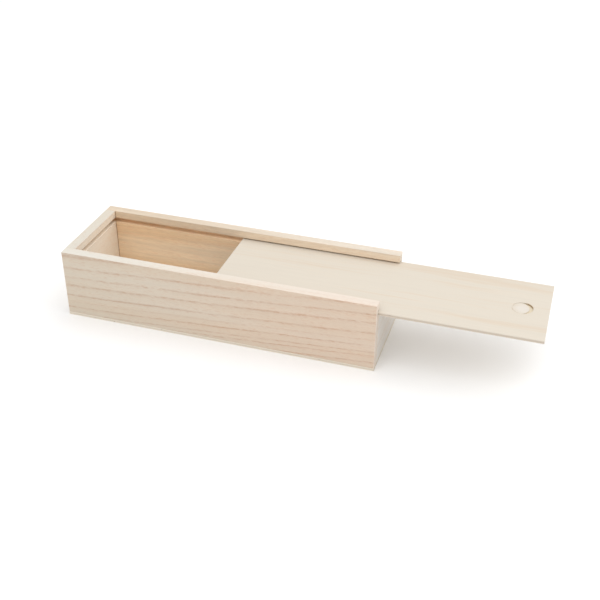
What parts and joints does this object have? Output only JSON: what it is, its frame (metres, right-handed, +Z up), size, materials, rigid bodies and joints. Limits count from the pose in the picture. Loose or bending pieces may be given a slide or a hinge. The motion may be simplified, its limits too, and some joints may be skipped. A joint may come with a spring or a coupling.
{
  "type": "wooden toy box",
  "caption": "Long rectangular wooden box for small toys, with a thin lid that slides in grooves and a round thumb recess.",
  "frame": {"origin": "centre of the box's footprint, on the face it rests on, the drawn-out lid left aside", "axes": "+X along the box towards the end the lid slides out of, +Y to the back, +Z up"},
  "size_m": [0.44, 0.1, 0.068],
  "materials": {
    "board_wood": "bare sanded pale wood",
    "panel_wood": "bare sanded thin plywood",
    "lid_wood": "bare sanded thin plywood",
    "brad_steel": "plain steel"
  },
  "bodies": {
    "box": {"front_side": "board_wood", "back_side": "board_wood", "closed_end": "board_wood", "open_end": "board_wood", "bottom_panel": "panel_wood", "bottom_brads": "brad_steel"},
    "lid": {"sliding_lid": "lid_wood"}
  },
  "joints": [
    {"name": "lid_slide", "type": "slide", "parent": "box", "child": "lid", "axis": [1, 0, 0], "range_m": [-0.14, 0.16]}
  ]
}
